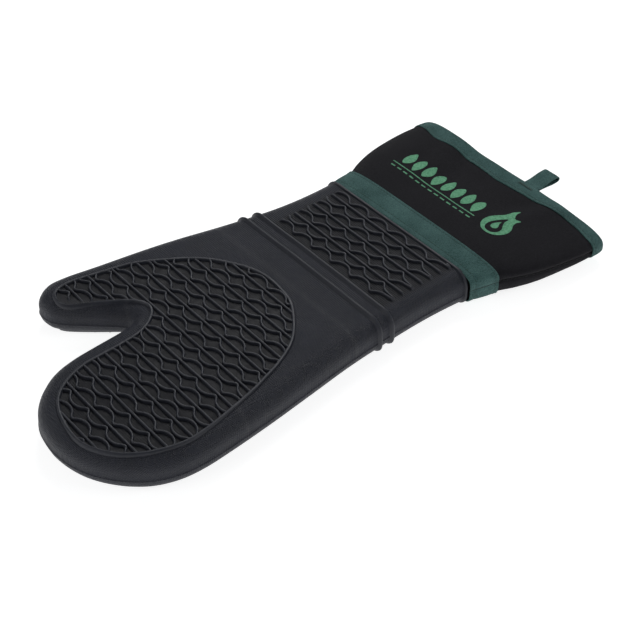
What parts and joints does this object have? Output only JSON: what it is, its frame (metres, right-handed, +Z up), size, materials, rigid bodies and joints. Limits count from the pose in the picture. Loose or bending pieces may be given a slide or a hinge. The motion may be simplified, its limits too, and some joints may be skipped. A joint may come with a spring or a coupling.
{
  "type": "oven mitt",
  "caption": "Long heat resistant cooking mitt: ribbed silicone hand with a separate thumb, quilted lining, canvas cuff with a bound mouth and a hanging loop.",
  "frame": {"origin": "under the middle of the whole lying mitt, on the plane it rests on", "axes": "+X from the fingertips to the mouth of the cuff and the hanging loop, +Y towards the thumb side, +Z up through the thickness"},
  "size_m": [0.3895, 0.1838, 0.0262],
  "materials": {
    "silicone": "satin charcoal-black silicone with a fine leathery grain",
    "lining_cotton": "plain woven black-grey cotton, quilted",
    "batting": "needled cotton batting",
    "canvas": "black cotton canvas, plain weave",
    "cuff_lining": "black cotton cloth",
    "tape": "dark green twill tape",
    "thread": "dark green sewing thread",
    "seam_thread": "black sewing thread"
  },
  "bodies": {
    "palm": {"shell_palm": "silicone", "lining_palm": "lining_cotton", "batting_palm_top": "batting", "batting_palm_bottom": "batting"},
    "fingers": {"shell_fingers": "silicone", "lining_fingers": "lining_cotton", "batting_fingers_top": "batting", "batting_fingers_bottom": "batting"},
    "thumb": {"shell_thumb": "silicone", "lining_thumb": "lining_cotton", "batting_thumb_top": "batting", "batting_thumb_bottom": "batting"},
    "cuff": {"shell_gauntlet": "silicone", "lining_gauntlet": "lining_cotton", "batting_gauntlet_top": "batting", "batting_gauntlet_bottom": "batting", "cuff_panel_top": "canvas", "cuff_panel_bottom": "canvas", "cuff_lining": "cuff_lining", "joint_tape": "tape", "mouth_binding": "tape", "stitch_tape_front": "thread", "stitch_tape_rear": "thread", "stitch_binding": "thread", "loop_bar_tack": "thread", "seam_far_side": "seam_thread", "seam_thumb_side": "seam_thread"},
    "loop": {"hanging_loop": "tape"}
  },
  "joints": [
    {"name": "finger_curl", "type": "hinge", "parent": "palm", "child": "fingers", "pos_m": [-0.12185, -0.02739, 0.01275], "axis": [0, 1, 0], "range_deg": [0, 45]},
    {"name": "thumb_flex", "type": "hinge", "parent": "palm", "child": "thumb", "pos_m": [-0.10385, 0.06336, 0.01275], "axis": [0.4552, 0.8904, 0], "range_deg": [0, 35]},
    {"name": "wrist_flex", "type": "hinge", "parent": "palm", "child": "cuff", "pos_m": [0.0049, -0.00189, 0.01275], "axis": [0, -1, 0], "range_deg": [0, 40]},
    {"name": "loop_swing", "type": "hinge", "parent": "cuff", "child": "loop", "pos_m": [0.17425, -0.02364, 0.01878], "axis": [0, -1, 0], "range_deg": [-50, 70]}
  ]
}
